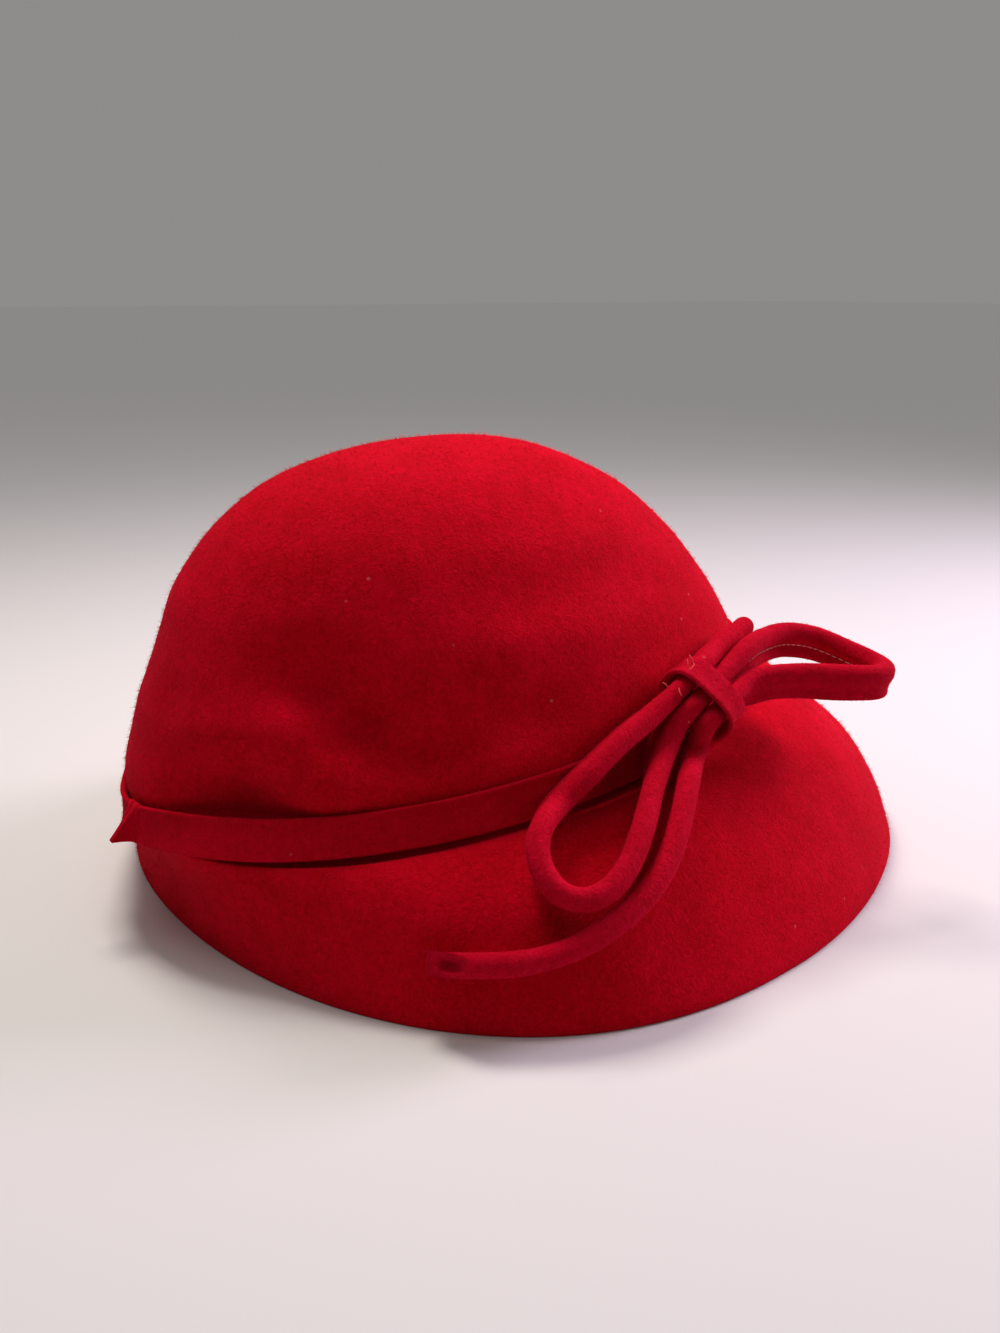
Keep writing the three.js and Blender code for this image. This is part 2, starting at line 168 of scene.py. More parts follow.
def brim_point(around, share):
    join = crown_point(around, np.zeros_like(around))
    rim = rim_point(around)
    width = np.linalg.norm(rim - join, axis=-1)
    bulge = BRIM_BELLY * 4 * share * (1 - share) * width
    outward = (rim - join) * [1, 1, 0]
    outward /= np.linalg.norm(outward, axis=-1, keepdims=True)
    point = join + (rim - join) * share[..., None]
    point = point + outward * (bulge * BRIM_BELLY_SPREAD)[..., None]
    point[..., 2] += bulge
    return point


def hood_point(around, level):
    around, level = np.broadcast_arrays(np.asarray(around, float), np.asarray(level, float))
    crown = crown_point(around, np.clip(-level, 0, 1))
    brim = brim_point(around, np.clip(level, 0, 1.2))
    return np.where((level <= 0)[..., None], crown, brim)


def hood_normal(around, level, step=FINE_STEP, across_join=False):
    around, level = np.broadcast_arrays(np.asarray(around, float), np.asarray(level, float))
    low = level + step
    high = level - step
    if not across_join:
        low = np.where(level <= 0, np.minimum(low, 0), low)
        high = np.where(level <= 0, high, np.maximum(high, 1e-6))
    down = hood_point(around, low) - hood_point(around, high)
    along = hood_point(around + FINE_STEP, level) - hood_point(around - FINE_STEP, level)
    normal = np.cross(down, along)
    return normal / np.linalg.norm(normal, axis=-1, keepdims=True)


print("half way up the back the felt faces", hood_normal(math.pi / 2, -0.5).round(2))

# %% [markdown]
# ## Dents and soft waves
# Worn felt is never even. The photo shows shallow hollows pressed into the crown's side and the
# brim's shoulder, and gentle waves all over. Each hollow is a row in a table: a bell curve round
# its own place. The tightened band also draws the felt in. The waves are a sum of a few slow
# sines with a fixed seed: cheap, smooth, and the same on every run. A sculpting tool could make
# them too, but numbers are easier to repeat.

# %% List the dents and the waves
DENTS = [  # degrees round, height share, width in degrees, height of the dent, depth share
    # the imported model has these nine
    (130, 0.515, 9, 0.085, 0.034),
    (140, 0.39, 10, 0.09, 0.036),
    (123, 0.37, 10, 0.08, -0.022),
    (115, 0.2, 12, 0.08, 0.03),
    (180, 0.46, 18, 0.09, -0.016),
    (174, 0.26, 14, 0.09, 0.022),
    (20, 0.5, 16, 0.12, 0.028),
    (330, 0.3, 14, 0.1, 0.02),
    (75, 0.55, 20, 0.12, 0.016),
    # these are only in the look
    (73, 0.61, 20, 0.13, -0.016),
    (123, 0.37, 10, 0.08, 0.014),
    (133, 0.47, 6, 0.07, 0.05),
    (141, 0.36, 6, 0.07, 0.06),
    (150, 0.26, 7, 0.07, 0.056),
    (128, 0.34, 6, 0.1, -0.024),
    (135, 0.2, 7, 0.08, -0.032),
    (117, 0.12, 13, 0.13, 0.075),
    (113, 0.34, 12, 0.08, -0.02),
    (168, 0.5, 12, 0.07, -0.01),
    (168, 0.28, 12, 0.07, 0.01),
    (96, 0.42, 7, 0.12, 0.01),
    (205, 0.55, 12, 0.09, 0.014),
    (192, 0.7, 14, 0.1, -0.012),
]
BRIM_HOLLOWS = [  # degrees round, share of the brim, width in degrees, height of the hollow, depth
    (251, 0.42, 22, 0.25, 6.5 * MM),
    (236, 0.62, 9, 0.12, 0.9 * MM),
]
BRIM_HOLLOW_START = 0.12  # share of the brim over which a hollow sets in
PINCHES = [  # under the tight band: degrees round, spread, depth, top in band widths
    (64, 17, 2.4 * MM, 1.15),
    (122, 30, 1.7 * MM, 1.35),
]
PINCH_FADE_ABOVE, PINCH_FADE_BELOW = 0.45, 1.1  # in band widths
BAND_TUCK_TOP = 1.6  # in band widths
BAND_SAG = 5.0 * MM  # the band hangs lower at the back
BAND_SAG_AROUND, BAND_SAG_SPREAD = 78, (34, 20)  # degrees, before and after
WAVE_DEPTH = 0.35 * MM
wave_dice = np.random.default_rng(7)
WAVES = [
    (wave_dice.normal(size=3), wave_dice.uniform(0, 6.3), length * MM)
    for length in (22, 26, 31, 37, 45, 54, 15, 17)
]
print(len(DENTS), "dents,", len(WAVES), "waves of", WAVE_DEPTH / MM, "mm")


# %% Measure how far the felt is drawn in
def degrees_between(around, where):
    return (np.degrees(around) - where + 180) % 360 - 180


def bell(around, where, wide):
    return np.exp(-(degrees_between(around, where) / wide) ** 2)


def dent_bell(around, up, where, centre, wide, tall):
    return np.exp(-(degrees_between(around, where) / wide) ** 2 - ((up - centre) / tall) ** 2)


def eased(share):
    share = np.clip(share, 0, 1)
    return share ** 2 * (3 - 2 * share)


def pinch(around, above_band):
    deep = 0
    for where, wide, depth, top in PINCHES:
        closing = eased((top - above_band) / PINCH_FADE_ABOVE)
        deep = deep + depth * bell(around, where, wide) * closing
    below = np.clip((above_band + PINCH_FADE_BELOW) / PINCH_FADE_BELOW, 0, 1)
    return deep * below ** 2


def band_sag(around):
    past = degrees_between(around, BAND_SAG_AROUND)
    return BAND_SAG * np.exp(-(past / np.where(past < 0, *BAND_SAG_SPREAD)) ** 2)


def drawn_in(around, level, under_band=False):
    around, level = np.broadcast_arrays(np.asarray(around, float), np.asarray(level, float))
    dents = np.zeros_like(level)
    for where, centre, wide, tall, deep in DENTS:
        dents = dents + deep * CROWN_HEIGHT * dent_bell(around, -level, where, centre, wide, tall)
    if under_band:  # the band bridges the hollows, but the bulges push it out
        dents = np.minimum(dents, 0)
    above_band = (band_sag(around) - level * CROWN_HEIGHT) / BAND_WIDTH
    fade = np.maximum(0, 1 - level * join_half_width / BAND_WIDTH)
    crown = dents + BAND_TUCK * np.clip(BAND_TUCK_TOP - above_band, 0, 1)
    brim = BAND_TUCK * fade ** 2
    begun = eased(level / BRIM_HOLLOW_START)
    for where, centre, wide, tall, deep in BRIM_HOLLOWS:
        brim = brim + deep * dent_bell(around, level, where, centre, wide, tall) * begun
    return np.where(level > 0, brim, crown) + pinch(around, above_band)


def waves(points):
    total = np.zeros(points.shape[:-1])
    for direction, start, length in WAVES:
        way = direction / np.linalg.norm(direction)
        total += np.sin(points @ way * (2 * math.pi / length) + start)
    return total / len(WAVES)


print("at 140 degrees the crown is drawn in by", drawn_in(math.radians(140), -0.38).round(4), "m")

# %% [markdown]
# ## Rings into a mesh
# Nearly every piece here is a row of rings: the hood, the band, the strip, the wrap, even a thread.
# One helper lists the faces between rings. A ring of a single point closes an end. Without such
# a point, an end is closed by one flat face. Another makes the skin, turns it outwards and smooths
# its shading.

# %% Join rings with faces
def ring_faces(counts, first_point=0, wrap_round=False):
    starts = first_point + np.concatenate([[0], np.cumsum(counts)[:-1]]).astype(int)
    faces = []
    for row in range(len(counts) if wrap_round else len(counts) - 1):
        after = (row + 1) % len(counts)
        here, there = counts[row], counts[after]
        first, second = int(starts[row]), int(starts[after])
        for k in range(max(here, there)):
            a, b = first + k % here, first + (k + 1) % here
            c, d = second + (k + 1) % there, second + k % there
            if here == 1:
                faces.append((a, c, d))
            elif there == 1:
                faces.append((a, b, c))
            else:
                faces.append((a, b, c, d))
    if not wrap_round:
        if counts[0] > 1:
            faces.append(tuple(range(first_point, first_point + counts[0]))[::-1])
        if counts[-1] > 1:
            faces.append(tuple(range(int(starts[-1]), int(starts[-1]) + counts[-1])))
    return faces


print("a box of two square rings has", len(ring_faces([4, 4])), "faces")


# %% Make a skin of them
def skin_piece(name, points, faces):
    mesh = bpy.data.meshes.new(name)
    mesh.from_pydata(np.asarray(points).tolist(), [], faces)
    mesh.update()
    if signed_volume(mesh) < 0:
        mesh.flip_normals()
    mesh.polygons.foreach_set("use_smooth", [True] * len(mesh.polygons))
    piece = bpy.data.objects.new(name, mesh)
    bpy.context.scene.collection.objects.link(piece)
    return piece


def signed_volume(mesh):
    mesh.calc_loop_triangles()
    points = np.empty(len(mesh.vertices) * 3)
    mesh.vertices.foreach_get("co", points)
    points = points.reshape(-1, 3)
    corners = np.empty(len(mesh.loop_triangles) * 3, dtype=int)
    mesh.loop_triangles.foreach_get("vertices", corners)
    a, b, c = (points[corners.reshape(-1, 3)[:, k]] for k in range(3))
    return float(np.einsum("ij,ij->i", a, np.cross(b, c)).sum() / 6)


def many_bodies(name, bodies, wrap_round=False):
    points, faces = [], []
    for rings in bodies:
        rings = [np.asarray(ring, float).reshape(-1, 3) for ring in rings]
        faces += ring_faces([len(ring) for ring in rings], sum(map(len, points)), wrap_round)
        points.append(np.concatenate(rings))
    return skin_piece(name, np.concatenate(points), faces)


def ring_piece(name, rings, wrap_round=False):
    return many_bodies(name, [rings], wrap_round)


def triangles(piece):
    return sum(len(face.vertices) - 2 for face in piece.data.polygons)


print("pieces made so far:", len(bpy.data.meshes))

# %% [markdown]
# ## Shared felt effects
# All the felts share one behaviour: the wool takes the dye unevenly, hairs lie in patches and
# catch the light, and here and there a pale speck of lint sits on the nap. These effects are one
# node group, built once. Each material then places it with its own colours and amounts. The
# group puts out a colour, a roughness and a height, and the shader itself stays in the material.

# %% Write helpers for nodes
def plug(tree, node, inputs):
    for name, value in inputs.items():
        if isinstance(value, bpy.types.NodeSocket):
            tree.links.new(value, node.inputs[name])
        else:
            node.inputs[name].default_value = value
    return node


def add_node(tree, kind, inputs, **settings):
    node = tree.nodes.new("ShaderNode" + kind)
    for name, value in settings.items():
        setattr(node, name, value)
    return plug(tree, node, inputs).outputs


def computed(tree, operation, *values):
    return add_node(tree, "Math", dict(enumerate(values)), operation=operation)["Value"]


def mixed(tree, factor, first, second):
    inputs = {"Factor": factor, "A": first, "B": second}
    return add_node(tree, "Mix", inputs, data_type="RGBA")["Result"]


def new_material(name):
    material = bpy.data.materials.new(name)
    material.use_nodes = True
    return material, material.node_tree, material.node_tree.nodes["Principled BSDF"]


FELT_INPUTS = [
    ("Deep Colour", "Color", (0.2, 0.0, 0.01, 1)),
    ("Nap Colour", "Color", (0.5, 0.01, 0.03, 1)),
    ("Lint Colour", "Color", (0.65, 0.14, 0.15, 1)),
    ("Patch Size", "Float", 60.0),
    ("Fibre Size", "Float", 520.0),
    ("Lint Amount", "Float", 0.5),
]
FELT_OUTPUTS = [("Colour", "Color"), ("Roughness", "Float"), ("Height", "Float")]
PATCH_SHARE, FIBRE_SHARE = 0.35, 0.65
LINT_RARITY = 0.22  # share of the specks that are shown
print("the felt group takes", ", ".join(name for name, _, _ in FELT_INPUTS))


# %% Build the felt group
def felt_group():
    group = bpy.data.node_groups.new("felt_surface", "ShaderNodeTree")
    for name, kind, value in FELT_INPUTS:
        socket = group.interface.new_socket(name, in_out="INPUT", socket_type="NodeSocket" + kind)
        socket.default_value = value
    for name, kind in FELT_OUTPUTS:
        group.interface.new_socket(name, in_out="OUTPUT", socket_type="NodeSocket" + kind)
    given = group.nodes.new("NodeGroupInput").outputs
    place = add_node(group, "TexCoord", {})["Object"]
    patches = add_node(group, "TexNoise", {
        "Vector": place, "Scale": given["Patch Size"], "Detail": 5, "Roughness": 0.62,
    })["Fac"]
    fibres = add_node(group, "TexNoise", {
        "Vector": place, "Scale": given["Fibre Size"],
        "Detail": 4, "Roughness": 0.7, "Distortion": 1.6,
    })["Fac"]
    fine = computed(group, "MULTIPLY", fibres, FIBRE_SHARE)
    height = computed(group, "MULTIPLY_ADD", patches, PATCH_SHARE, fine)
    spread = add_node(group, "MapRange", {"Value": height, "From Min": 0.36, "From Max": 0.63})
    dye = mixed(group, spread["Result"], given["Deep Colour"], given["Nap Colour"])

    specks = add_node(group, "TexVoronoi", {"Vector": place, "Scale": 110})
    near = add_node(group, "MapRange", {
        "Value": specks["Distance"], "From Min": 0.065, "From Max": 0.035,
    })["Result"]
    chance = add_node(group, "SeparateColor", {"Color": specks["Color"]})["Red"]
    few = computed(group, "LESS_THAN", chance, LINT_RARITY)
    lint = computed(group, "MULTIPLY", near, few)
    lint = computed(group, "MULTIPLY", lint, given["Lint Amount"])
    colour = mixed(group, lint, dye, given["Lint Colour"])
    rough = add_node(group, "MapRange", {"Value": fibres, "To Min": 0.82, "To Max": 0.98})
    plug(group, group.nodes.new("NodeGroupOutput"), {
        "Colour": colour, "Roughness": rough["Result"], "Height": height,
    })
    return group


FELT_SURFACE = felt_group()
print("felt group with", len(FELT_SURFACE.nodes), "nodes")


# %% Make a felt from the group
FELT_RELIEF = 1.2 * MM


def felt_material(name, deep, nap, patch=60.0, lint=0.5, bump=0.7, sheen=0.08):
    material, tree, shader = new_material(name)
    surface = tree.nodes.new("ShaderNodeGroup")
    surface.node_tree = FELT_SURFACE
    plug(tree, surface, {
        "Deep Colour": (*deep, 1), "Nap Colour": (*nap, 1),
        "Patch Size": patch, "Lint Amount": lint,
    })
    relief = add_node(tree, "Bump", {
        "Height": surface.outputs["Height"], "Strength": bump, "Distance": FELT_RELIEF,
    })
    plug(tree, shader, {
        "Base Color": surface.outputs["Colour"], "Roughness": surface.outputs["Roughness"],
        "Specular IOR Level": 0.03, "Sheen Weight": sheen, "Sheen Roughness": 0.45,
        "Sheen Tint": (1.0, 0.03, 0.2, 1), "Normal": relief["Normal"],
    })
    return material


BODY_FELT = felt_material("body_felt", (0.40, 0.0002, 0.003), (0.62, 0.0006, 0.014))
BAND_FELT = felt_material("band_felt", (0.39, 0.0003, 0.005), (0.55, 0.0008, 0.014), lint=0.3)
STRIP_FELT = felt_material("strip_felt", (0.38, 0.0006, 0.008), (0.56, 0.0018, 0.022), patch=140)
print("felts:", BODY_FELT.name, BAND_FELT.name, STRIP_FELT.name)

# %% [markdown]
# ## Crown and brim
# The real hood is one piece of felt, steamed and pulled over a block. It could be a subdivided
# coarse cage, but the formulas give a true surface at any fineness, so the fine mesh is sampled
# from them directly. The skin goes up the inside, over the top, down the outside, and round the
# cut edge of the rim, so the felt has its real thickness everywhere.

# %% Make the hood
COLUMNS = 300
OUTER_ROWS, INNER_ROWS = (84, 44), (36, 18)  # on the crown and on the brim
JOIN_ROUNDED = (-0.97, 0.96)  # levels between which the normals are blended over the join
RIM_CALM = 8  # the waves fade out over the last eighth of the brim
RIM_BEVEL = 0.3 * MM
turns = np.linspace(0, 2 * math.pi, COLUMNS, endpoint=False)


def felt_rows(crown_rows, brim_rows):
    climb = (1 - np.arange(1, crown_rows + 1) / crown_rows) * (math.pi / 2)
    crown_levels = -(np.sin(climb) ** (2 / ROUND_UP))
    return np.concatenate([crown_levels, np.arange(1, brim_rows + 1) / brim_rows])


def felt_ring(level, outside=0.0):
    step = WIDE_STEP if JOIN_ROUNDED[0] < level < JOIN_ROUNDED[1] else FINE_STEP
    level = np.full(COLUMNS, level)
    normal = hood_normal(turns, level, step, across_join=True)
    point = hood_point(turns, level)
    offset = outside - drawn_in(turns, level)
    offset = offset + WAVE_DEPTH * waves(point) * np.minimum(1, (1 - level) * RIM_CALM)
    return point + normal * offset[:, None]


outer_rings = [felt_ring(level) for level in felt_rows(*OUTER_ROWS)]
inner_rings = [felt_ring(level, -FELT_WALL) for level in felt_rows(*INNER_ROWS)[:-1]]
inward = -hood_normal(turns, np.ones(COLUMNS))
flat_inward = inward * [1, 1, 0]
flat_inward /= np.linalg.norm(flat_inward, axis=1, keepdims=True)
rim_foot = outer_rings[-1] * [1, 1, 0] + [0, 0, body_low[2]]
slope_shift = flat_inward * (RIM_EDGE_HEIGHT * np.abs(inward[:, 2:]))
edge_rings = [
    rim_foot + slope_shift * 0.8 + [0, 0, RIM_BEVEL],
    rim_foot + slope_shift + flat_inward * RIM_BEVEL,
    rim_foot + flat_inward * (FELT_WALL - RIM_BEVEL),
    rim_foot + flat_inward * FELT_WALL + [0, 0, RIM_BEVEL],
]
inner_top = top_point - crown_axis * FELT_WALL
hood = ring_piece("crown_and_brim", [
    [top_point], *outer_rings, *edge_rings, *inner_rings[::-1], [inner_top],
])
hood.data.materials.append(BODY_FELT)
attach(hood, "root")
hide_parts("felt_body")
print("crown and brim:", triangles(hood), "triangles")

# %% [markdown]
# ## The band
# The band is a separate strip of pressed felt, about 11 mm wide. Its cut edges are slightly
# rounded, its upper edge stands up as a thin lighter lip, and its lower edge flares over the brim
# and throws a shadow. It hangs a little lower at the back, and at the side its lower edge stands
# off the felt. It is drawn as one closed section, carried round the head. Its two ends meet at the
# centre back, under the pinched ends that are made next.

# %% Make the band
CLEARANCE = 0.35 * MM
BAND_THICKNESS = 1.8 * MM
BAND_FLARE = 1.0 * MM
FIN_REACH = 6.6 * MM
FIN_THICKNESS = 3.0 * MM
BAND_STAND = 2.3 * MM
BAND_STAND_AROUND, BAND_STAND_SPREAD = 120, 24  # degrees
BAND_FOOT = 0.3 * MM  # above the join
BAND_LEVEL = -0.06  # the band stands off along the felt's normal at this level
band_outer = CLEARANCE + BAND_THICKNESS
BAND_SECTION = [  # height up the band and distance outside the felt, both in metres
    (0.3 * MM, 0.6 * MM + CLEARANCE),
    (2.2 * MM, CLEARANCE + 0.2 * MM),
    (BAND_WIDTH / 2, CLEARANCE),
    (BAND_WIDTH - 0.5 * MM, CLEARANCE),
    (BAND_WIDTH, CLEARANCE + 0.4 * MM),
    (BAND_WIDTH + 0.1 * MM, CLEARANCE + 0.95 * MM),
    (BAND_WIDTH, band_outer),
    (BAND_WIDTH - 0.6 * MM, band_outer + 0.2 * MM),
    (BAND_WIDTH - 1.7 * MM, band_outer - 0.3 * MM),
    (BAND_WIDTH * 0.66, band_outer - 0.05 * MM),
    (BAND_WIDTH * 0.42, band_outer + 0.1 * MM),
    (BAND_WIDTH * 0.22, band_outer + 0.4 * MM),
    (0.8 * MM, band_outer + BAND_FLARE),
    (0.3 * MM, band_outer + BAND_FLARE - 0.05 * MM),
    (0.1 * MM, band_outer + BAND_FLARE - 0.6 * MM),
    (0.15 * MM, CLEARANCE + 1.1 * MM),
]


def unit(vector):
    return vector / np.linalg.norm(vector, axis=-1, keepdims=True)


def on_felt(around, level):
    drawn = drawn_in(around, level, under_band=True)
    return hood_point(around, level) - hood_normal(around, level) * drawn[..., None]


def band_place(around, height, outside):
    around = np.atleast_1d(around)
    foot, head = (on_felt(around, -high / CROWN_HEIGHT) for high in (BAND_FOOT, BAND_WIDTH))
    rise = unit(head - foot)
    normal = hood_normal(around, BAND_LEVEL)
    wobble = 0.12 * MM * np.sin(around * 9 + 1) + 0.1 * MM * np.sin(around * 23 + 2)
    stand = BAND_STAND * bell(around, BAND_STAND_AROUND, BAND_STAND_SPREAD)
    outside = outside + stand * (1 - np.clip(height / BAND_WIDTH, 0, 1))
    middle = foot + rise * (height - BAND_FOOT - band_sag(around))[:, None]
    return middle + normal * (outside + wobble * np.minimum(1, height / BAND_WIDTH + 0.3))[:, None]


def band_ring(height, outside):
    return band_place(turns, np.full(COLUMNS, height), outside)


band = ring_piece("crown_band", [band_ring(*corner) for corner in BAND_SECTION], wrap_round=True)
band.data.materials.append(BAND_FELT)
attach(band, "root")
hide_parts("hat_band")
print("band:", triangles(band), "triangles")

# %% [markdown]
# The band's two ends are turned outwards, laid face to face, sewn and trimmed on a slant. That
# leaves a small pointed fin. It is lofted as rings that start wide in the band, where the ends
# still bend away from the head, and get lower and thinner towards the point. A fine groove along
# the trimmed edge shows that there are two layers.

# %% Make the pinched ends
FIN_AROUND = math.radians(90)
fin_foot, fin_head = (
    band_place(FIN_AROUND, np.array([height]), band_outer)[0] for height in (BAND_FOOT, BAND_WIDTH)
)
fin_up = unit(fin_head - fin_foot)
fin_out = hood_normal(FIN_AROUND, BAND_LEVEL)
fin_out = unit(fin_out - fin_up * (fin_out @ fin_up))
fin_side = np.cross(fin_up, fin_out)


def fin_ring(reach):
    low = BAND_FOOT + (0.8 * MM if reach < 0 else 0.25 * MM * reach)
    high = (BAND_WIDTH - 0.9 * MM) * (1 - max(0, reach) ** 0.9) + 1.3 * MM
    thick = FIN_THICKNESS * 0.36 + 2.6 * MM * (1 - max(0, reach)) ** 4
    groove = min(0.5 * MM, (high - low) * 0.25)
    foot_side = [(thick, low + 0.2 * MM), (thick * 0.8, low), (0.15 * MM, low)]
    head_side = [
        (thick, (low + high) / 2), (thick * 0.95, high - 0.35 * MM), (thick * 0.6, high),
        (0.2 * MM, high - 0.1 * MM),
    ]
    corners = [
        *((-across, rise) for across, rise in foot_side), (0, low + groove), *foot_side[::-1],
        *head_side, (0, high - groove), *((-across, rise) for across, rise in head_side[::-1]),
    ]
    middle = fin_foot + fin_out * (reach * FIN_REACH - 0.1 * MM)
    return [middle + fin_side * across + fin_up * rise for across, rise in corners]


FIN_REACHES = (-0.12, 0, 0.08, 0.16, 0.25, 0.35, 0.46, 0.58, 0.7, 0.82, 0.92, 1.0)
fin = ring_piece("pinched_ends", [fin_ring(reach) for reach in FIN_REACHES])
fin.data.materials.append(BAND_FELT)
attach(fin, "root")
print("pinched ends:", triangles(fin), "triangles")

hoop = band_place(turns, np.full(COLUMNS, BAND_WIDTH / 2), BAND_THICKNESS / 2)

# %% [markdown]
# ## The route of the bow's strip
# The bow is one long strip: it hangs as a tail, goes up through the wrap, makes the free loop,
# comes back through the wrap, makes the hanging loop, and ends above the wrap. The route is a list
# of places, and a smooth curve runs through them. Places on the hat are distances from the knot,
# round the head and down the brim, with a lift off the felt. So the strip follows the hat's own
# surface instead of floating at guessed heights.

# %% Name the bow's sizes and places
TUBE = 6.2 * MM
FLANGE_DEPTH = 3.9 * MM
FLANGE_THICKNESS = 2.6 * MM
STRIP_DEPTH = TUBE + FLANGE_DEPTH
KNOT_AROUND = math.radians(197.8)
KNOT_ABOVE_JOIN = 15.5 * MM
KNOT_LIFT = 12.6 * MM
KNOT_SLOPE = math.radians(11)
KNOT_TILT = math.radians(28)
KNOT_SQUEEZE = 0.86
STRAND_PITCH = TUBE * KNOT_SQUEEZE + 0.55 * MM
HANG_SPREAD = 100 * MM
HANG_DROP = 50 * MM
LOOSE_LOOP_REACH = 62 * MM
WRAP_WIDTH = 8.4 * MM
TAIL_ROUTE = [  # aside, down and lift, each a share of its own size
    (1.07, 0.872, 0.73),
    (0.983, 0.923, 0.76), (0.888, 0.963, 0.76), (0.784, 0.954, 0.76), (0.682, 0.897, 0.76),
    (0.584, 0.814, 0.77), (0.484, 0.69, 0.78), (0.388, 0.546, 0.8), (0.267, 0.365, 0.84),
    (0.065, -0.057, 0.95), (0.046, -0.118, 1.05),
]
HANGING_LOOP_ROUTE = [
    (0.091, -0.247, 1.0), (0.15, -0.148, 0.94), (0.327, 0.29, 0.93), (0.476, 0.514, 0.95),
    (0.583, 0.675, 0.97), (0.662, 0.759, 0.97), (0.717, 0.769, 0.97), (0.744, 0.713, 0.97),
    (0.742, 0.611, 0.97), (0.705, 0.474, 0.97), (0.645, 0.353, 0.97), (0.463, -0.092, 0.96),
    (0.376, -0.18, 0.93), (0.271, -0.267, 0.89), (0.171, -0.318, 0.86),
]
UPPER_END_ROUTE = [
    (-0.141, -0.43, 0.86), (-0.226, -0.438, 0.93), (-0.304, -0.44, 1.03), (-0.356, -0.437, 1.13),
]
LOOSE_LOOP_ROUTE = [  # front, left and up, shares of the loop's reach
    (0.263, 0.017, 0.0), (0.359, 0.001, 0.019), (0.503, -0.077, 0.027), (0.611, -0.159, 0.024),
    (0.707, -0.234, 0.022), (0.801, -0.269, 0.017), (0.895, -0.234, 0.017), (0.947, -0.134, 0.022),
    (0.926, 0.017, 0.056), (0.832, 0.158, 0.109), (0.68, 0.203, 0.138), (0.532, 0.186, 0.138),
    (0.349, 0.115, 0.126),
]
print("hanging loop:", len(HANGING_LOOP_ROUTE), "places, loose loop:", len(LOOSE_LOOP_ROUTE))


# %% Place the knot
def on_the_hat(aside, down, lift):
    around = np.array([KNOT_AROUND - aside / join_radius])
    local = np.linalg.norm(crown_point(around, np.zeros(1)) - rim_point(around))
    level = np.array([down / CROWN_HEIGHT if down <= 0 else down / local])
    normal = hood_normal(around, level)[0]
    return hood_point(around, level)[0] + normal * lift, normal


seat, seat_normal = on_the_hat(0, -KNOT_ABOVE_JOIN, 0)
ahead = unit(on_the_hat(-1 * MM, -KNOT_ABOVE_JOIN, 0)[0] - seat)
knot_across = unit(np.cross(ahead, seat_normal))
knot_across *= math.copysign(1, knot_across[2])
knot_along = ahead * math.cos(KNOT_SLOPE) + knot_across * math.sin(KNOT_SLOPE)
knot_across = unit(knot_across - knot_along * (knot_across @ knot_along))
knot_outward = seat_normal * math.cos(KNOT_TILT) + knot_across * math.sin(KNOT_TILT)
knot_side = unit(np.cross(knot_outward, knot_along))
knot_side *= math.copysign(1, knot_side[2])
knot_centre = seat + seat_normal * KNOT_LIFT


# %% List the places along the strip
def through_knot(strand, direction):
    middle = knot_centre + knot_side * strand * STRAND_PITCH
    return [
        (middle + knot_along * direction * share * WRAP_WIDTH, -knot_outward, KNOT_SQUEEZE)
        for share in (-0.9, -0.55, 0.55, 0.9)
    ]


def along_the_hat(route):
    places = []
    for aside, down, lift in route:
        point, normal = on_the_hat(aside * HANG_SPREAD, down * HANG_DROP, lift * STRIP_DEPTH)
        places.append((point, -normal, 1.0))
    return places


STRAIGHT_DOWN = np.array([0, 0, -1.0])


def in_the_open(route):
    return [
        (knot_centre + np.array([left, -front, up]) * LOOSE_LOOP_REACH, STRAIGHT_DOWN, 1.0)
        for front, left, up in route
    ]


stations = [  # where, which way the flange points, and how squeezed
    *along_the_hat(TAIL_ROUTE), *through_knot(-1, 1), *in_the_open(LOOSE_LOOP_ROUTE),
    *through_knot(0, -1), *along_the_hat(HANGING_LOOP_ROUTE), *through_knot(1, 1),
    *along_the_hat(UPPER_END_ROUTE),
]
print(len(stations), "places along the strip")


# %% Draw a smooth curve through them
def smooth_route(places, step):
    points = np.array([place[0] for place in places])
    extended = np.concatenate([[2 * points[0] - points[1]], points, [2 * points[-1] - points[-2]]])
    line, facing, squeeze = [], [], []
    for k in range(len(points) - 1):
        p0, p1, p2, p3 = extended[k:k + 4]
        d0, d1, d2 = (math.sqrt(np.linalg.norm(b - a)) for a, b in ((p0, p1), (p1, p2), (p2, p3)))
        t1 = ((p1 - p0) / d0 - (p2 - p0) / (d0 + d1) + (p2 - p1) / d1) * d1
        t2 = ((p2 - p1) / d1 - (p3 - p1) / (d1 + d2) + (p3 - p2) / d2) * d1
        for t in np.linspace(0, 1, 40, endpoint=False):
            curve = p1 + t1 * t + (-3 * p1 + 3 * p2 - 2 * t1 - t2) * t ** 2
            line.append(curve + (2 * p1 - 2 * p2 + t1 + t2) * t ** 3)
            facing.append(places[k][1] * (1 - t) + places[k + 1][1] * t)
            squeeze.append(places[k][2] * (1 - t) + places[k + 1][2] * t)
    line.append(points[-1])
    facing.append(places[-1][1])
    squeeze.append(places[-1][2])
    line, facing, squeeze = np.array(line), np.array(facing), np.array(squeeze)
    run = np.concatenate([[0], np.cumsum(np.linalg.norm(np.diff(line, axis=0), axis=1))])
    even = np.linspace(0, run[-1], int(run[-1] / step) + 1)
    columns = np.column_stack([line, facing, squeeze])
    table = np.column_stack([np.interp(even, run, column) for column in columns.T])
    return even, table[:, :3], table[:, 3:6], table[:, 6]


def softened(values, reach):
    window = np.hanning(2 * reach + 3)[1:-1]
    window /= window.sum()
    padded = np.concatenate([values[:1].repeat(reach, 0), values, values[-1:].repeat(reach, 0)])
    return np.stack([np.convolve(column, window, "valid") for column in padded.T], -1)


